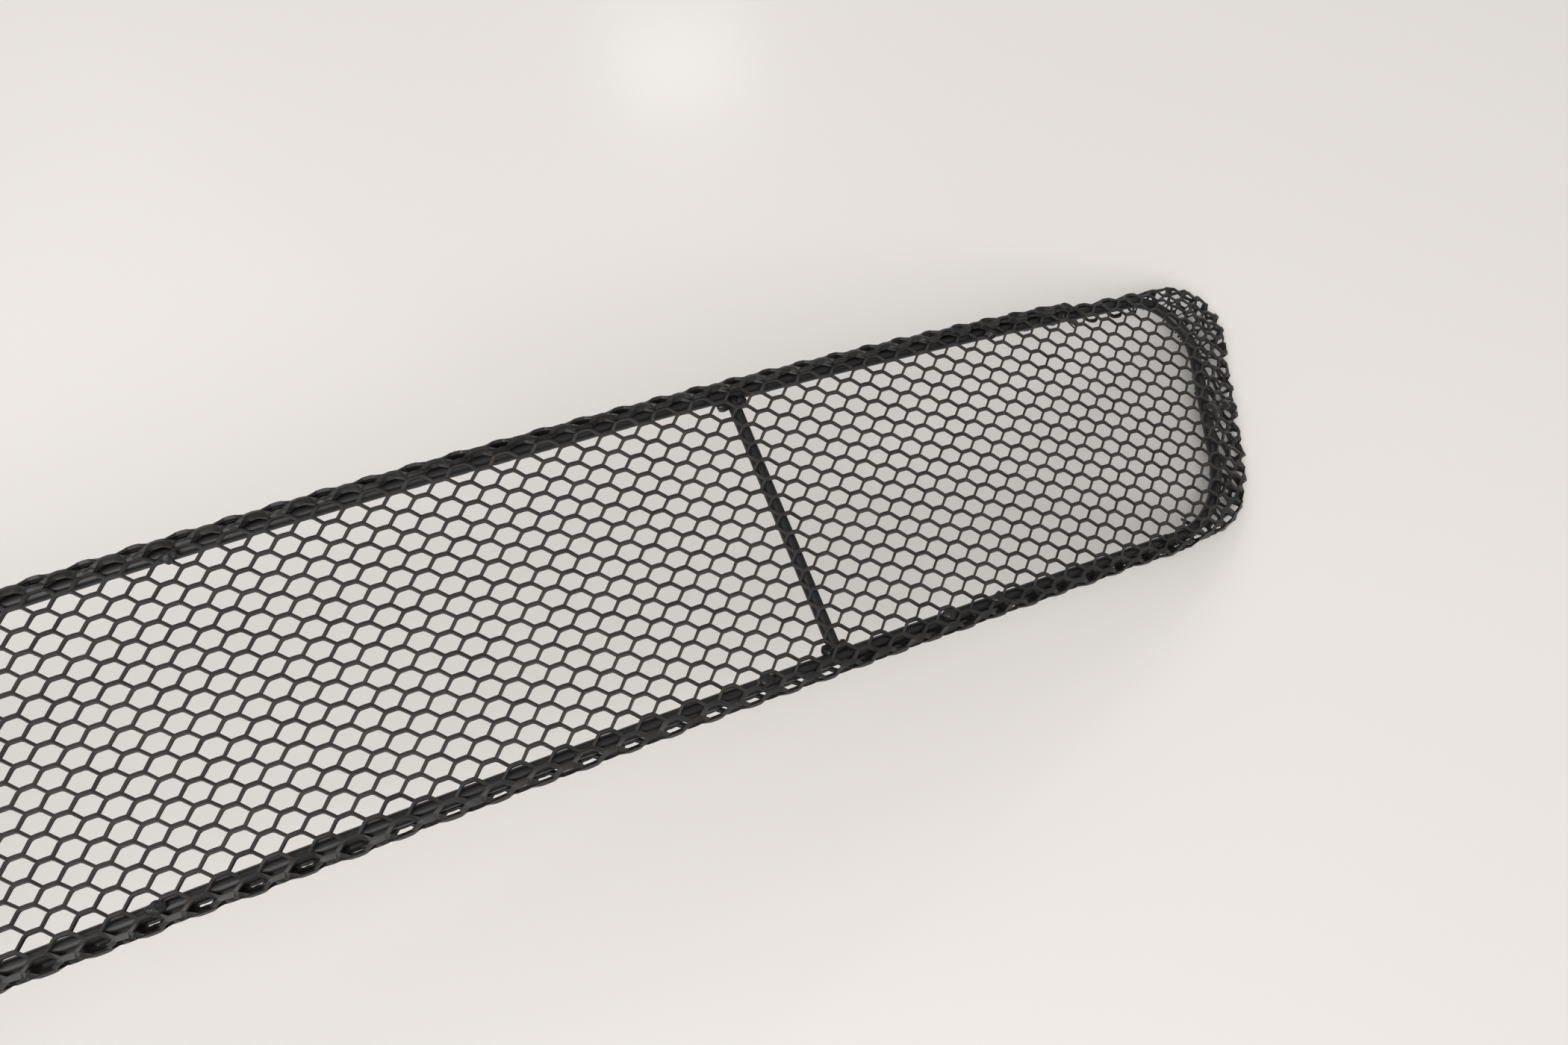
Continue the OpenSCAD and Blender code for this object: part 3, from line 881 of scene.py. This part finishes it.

# %% [markdown]
# ## The five regions of the sheet as pieces
#
# The CAD keeps the flat panel, the two hems and the two end flanges as separate nodes, so the sheet
# is cut into the same five here. Each strand segment belongs to the region its middle lies in.
# Points where two periods meet are merged, and the strand ends left at the cut edge are closed, so
# every mesh is a closed skin. The `painted_edge_highlight` attribute, a painted highlight, is high on
# one ridge of the section only, uneven from period to period, and weaker in the folded regions.

# %% Make the mesh pieces
segment_of_face = strand_faces.min(axis=1) // SECTION_SIDES
# Painted highlight on the section's four corners, and how much of it each region keeps.
CORNER_HIGHLIGHT = (0.05, 0.05, 0.10, 1.0)
KEPT_HIGHLIGHT = {"mesh_panel": 1.0, "upper_hem": 0.32, "lower_hem": 0.30, "left_end_flange": 0.12,
             "right_end_flange": 0.12}


def mesh_region(name):
    chosen = segment_part == name
    verts = formed.reshape(-1, 3)
    picked = chosen[:, segment_of_face]
    period, face = np.nonzero(picked)
    faces = strand_faces[face] + (period * formed.shape[1])[:, None]
    used, faces = np.unique(faces, return_inverse=True)
    faces = faces.reshape(-1, 4)
    piece = new_piece(name + "_strands", verts[used], faces, MESH_COAT, [name],
                      smooth=False)
    mesh = piece.data
    rng = np.random.default_rng(71)
    # Painted highlight: high on the section's last corner, uneven from period to period, scaled per
    # region.
    corner_high = np.tile(np.array(CORNER_HIGHLIGHT), STATIONS)
    edge_highlight = corner_high[None] * rng.uniform(0.25, 1.0, (len(formed), 1)) * KEPT_HIGHLIGHT[name]
    highlight_layer = mesh.attributes.new("painted_edge_highlight", "FLOAT", "POINT")
    highlight_layer.data.foreach_set("value", edge_highlight.reshape(-1)[used].astype(np.float32))
    work = bmesh.new()
    work.from_mesh(mesh)
    bmesh.ops.remove_doubles(work, verts=work.verts, dist=0.004 * MM)
    edges = [e for e in work.edges if e.is_boundary]
    bmesh.ops.holes_fill(work, edges=edges, sides=8)
    bmesh.ops.recalc_face_normals(work, faces=work.faces)
    open_edges = sum(1 for e in work.edges if not e.is_manifold)
    work.to_mesh(mesh)
    triangles = sum(len(f.verts) - 2 for f in work.faces)
    work.free()
    print(f"{name}: {chosen.sum()} segments, {triangles} triangles, {open_edges} open edges")


for region in KEPT_HIGHLIGHT:
    mesh_region(region)

# %% [markdown]
# ## Welds
#
# The frame is butt-welded where the rails meet the end rods, the braces have a fillet at each foot,
# and small tack welds hold the mesh to the rods. A hand-made weld is a lump that has flowed: round,
# leaning, with ripples. Each lump starts as a ball with fine faces, is stretched to its size, and
# is pushed in and out by smooth noise, with its own seed.


# %% Weld lumps
def lump(along, across, height, size, seed, uneven=0.16):
    """A flowed ball of weld: its centre on the unbent grille, its three half sizes in mm."""
    ball = bmesh.new()
    bmesh.ops.create_icosphere(ball, subdivisions=4, radius=1.0)
    unit = np.array([v.co[:] for v in ball.verts])
    faces = [[v.index for v in f.verts] for f in ball.faces]
    ball.free()
    push = (1 + uneven * smooth_noise(unit, 1.3, seed)
            + 0.35 * uneven * smooth_noise(unit, 0.5, seed + 1))
    shape = unit * push[:, None] * np.array(size)
    return bent(along + shape[:, 0], across + shape[:, 1], height + shape[:, 2]), faces


def weld_piece(name, lumps):
    verts, faces, start = [], [], 0
    for places, shape in lumps:
        verts.append(places)
        faces.extend([[start + k for k in face] for face in shape])
        start += len(places)
    return new_piece(name + "_bead", np.concatenate(verts), faces, WELD_COAT, [name])


# Sizes are half lengths along the grille, across it and out of its face.
BUTT_SIZE, TACK_LOWER_SIZE, TACK_UPPER_SIZE = (1.9, 2.35, 2.2), (2.3, 1.65, 1.25), (2.2, 1.6, 1.3)
TACKS_LOWER, TACKS_UPPER = (134, 293, 354, 372), (0, 158, 412)
FLANGE_TACK_PLACE = -4.4
# Flange tacks: distance out from the end rod, shift across, height and size.
FLANGE_TACKS = ((0, 0, 2.9, (3.1, 2.9, 1.7)), (7, 0.8, 2.0, (3.3, 2.0, 1.3)),
                (11.6, -0.4, 0.9, (2.3, 2.1, 1.5)))
JOINTS = (("left_upper", -1, HALF_WIDTH), ("left_lower", -1, -HALF_WIDTH),
          ("right_upper", 1, HALF_WIDTH), ("right_lower", 1, -HALF_WIDTH))

weld_pieces = []
for k, (label, side, across) in enumerate(JOINTS):
    weld_pieces.append(weld_piece(label + "_butt_weld", [
        lump(side * BOWED_HALF, across, 0.0, BUTT_SIZE, 100 + k, 0.05)]))
for k, (label, place) in enumerate(BRACE_PLACES.items()):
    for across, edge in ((1, "upper"), (-1, "lower")):
        foot = across * (HALF_WIDTH - 2.6)
        grow, shift = (1.25, 0.7) if across > 0 else (1.0, 0.0)
        weld_pieces.append(weld_piece(f"{label}_{edge}_weld", [
            lump(place - 2.1 - shift, foot, -0.1, (1.9 + shift, 1.9 * grow, 1.75),
                 120 + 7 * k + across, 0.14),
            lump(place + 2.2, foot, 0.1, (2.1, 1.8 * grow, 1.75), 150 + 7 * k + across, 0.14)]))
lower = [lump(s * p, -HALF_WIDTH + 0.4, 2.9, TACK_LOWER_SIZE, 200 + p + s, 0.18)
         for p in TACKS_LOWER for s in (-1, 1)]
weld_pieces.append(weld_piece("lower_tack_welds", lower))
upper = [lump(s * p, HALF_WIDTH - 2.1, 3.4, TACK_UPPER_SIZE, 300 + p + s, 0.18)
         for p in TACKS_UPPER for s in ((1,) if p == 0 else (-1, 1))]
weld_pieces.append(weld_piece("upper_tack_welds", upper))
tack_x = BOWED_HALF + END_REACH - 3 * math.tan(math.radians(END_SLANT))
for side, label in ((-1, "left"), (1, "right")):
    weld_pieces.append(weld_piece(label + "_flange_tack_welds", [
        lump(side * (tack_x + out), FLANGE_TACK_PLACE + dy, h, size, 400 + int(out) + side, 0.2)
        for out, dy, h, size in FLANGE_TACKS]))
print(len(weld_pieces), "weld pieces")

# %% [markdown]
# ## Floor and light
#
# The grille lies on a satin pale board. A broad soft light at the near left is the strongest, a
# weaker one stands at the far left, and the pale world fills in, so shadows are soft and faint. A
# small light at the far right makes the pale glint on the board. The board isn't part of the
# object, so it is only a stage.


# %% Stage
def pale_floor():
    material = bpy.data.materials.new("pale_gloss_board")
    material.use_nodes = True
    nodes, links = material.node_tree.nodes, material.node_tree.links
    shader = nodes["Principled BSDF"]
    place, texture = nodes.new("ShaderNodeTexCoord"), nodes.new("ShaderNodeTexNoise")
    texture.inputs["Scale"].default_value = 1.6
    texture.inputs["Detail"].default_value = 2.0
    blend = nodes.new("ShaderNodeMix")
    blend.data_type = "RGBA"
    blend.inputs["A"].default_value = (0.790, 0.765, 0.740, 1)
    blend.inputs["B"].default_value = (0.800, 0.780, 0.762, 1)
    links.new(place.outputs["Object"], texture.inputs["Vector"])
    links.new(texture.outputs["Fac"], blend.inputs["Factor"])
    links.new(blend.outputs["Result"], shader.inputs["Base Color"])
    shader.inputs["Roughness"].default_value = 0.42
    shader.inputs["Coat Weight"].default_value = 0.35
    shader.inputs["Coat Roughness"].default_value = 0.16
    bpy.ops.mesh.primitive_plane_add(size=9.0)
    floor = bpy.context.object
    floor.name = "board"
    floor.data.materials.append(material)


def softbox(name, place, aim, size, watts, tint):
    light = bpy.data.lights.new(name, "AREA")
    light.shape, light.size, light.size_y = "RECTANGLE", size[0], size[1]
    light.energy, light.color = watts, tint
    lamp = bpy.data.objects.new(name, light)
    lamp.location = place
    lamp.rotation_euler = (Vector(aim) - Vector(place)).to_track_quat("-Z", "Y").to_euler()
    bpy.context.scene.collection.objects.link(lamp)


pale_floor()
softbox("key_softbox", (-0.9, 1.5, 2.3), (0.1, 0.1, 0.0), (1.9, 1.5), 10.0, (1.0, 0.985, 0.965))
softbox("fill_softbox", (-0.5, -1.2, 2.0), (0.1, -0.3, 0.0), (2.0, 1.7), 46.0, (1.0, 0.975, 0.955))
softbox("far_window", (0.84, 2.16, 2.0), (0.36, 0.24, 0.0), (0.34, 0.24), 1.9, (1.0, 0.99, 0.98))
world = bpy.data.worlds.new("studio")
world.use_nodes = True
world.node_tree.nodes["Background"].inputs["Color"].default_value = (1.0, 0.985, 0.97, 1)
world.node_tree.nodes["Background"].inputs["Strength"].default_value = 0.46
bpy.context.scene.world = world

# %% [markdown]
# ## Camera
#
# The camera looks down over the right-hand end from close by, about 24 degrees off straight down,
# turned so that the grille runs from lower left to upper right. Its three axes are given directly,
# which fixes the roll too.

# %% Camera
right = Vector((0.92710, -0.37418, -0.02158)).normalized()
view = Vector((0.13098, 0.37741, -0.91674)).normalized()
up = right.cross(view).normalized()
camera_data = bpy.data.cameras.new("camera")
camera_data.lens, camera_data.sensor_width, camera_data.sensor_fit = 27.68, 36.0, "HORIZONTAL"
camera = bpy.data.objects.new("camera", camera_data)
camera.matrix_world = Matrix((
    (right.x, up.x, -view.x, 0.26705), (right.y, up.y, -view.y, -0.13444),
    (right.z, up.z, -view.z, 0.38978), (0, 0, 0, 1)))
bpy.context.scene.collection.objects.link(camera)
bpy.context.scene.camera = camera
bpy.context.scene.view_settings.view_transform = "Standard"
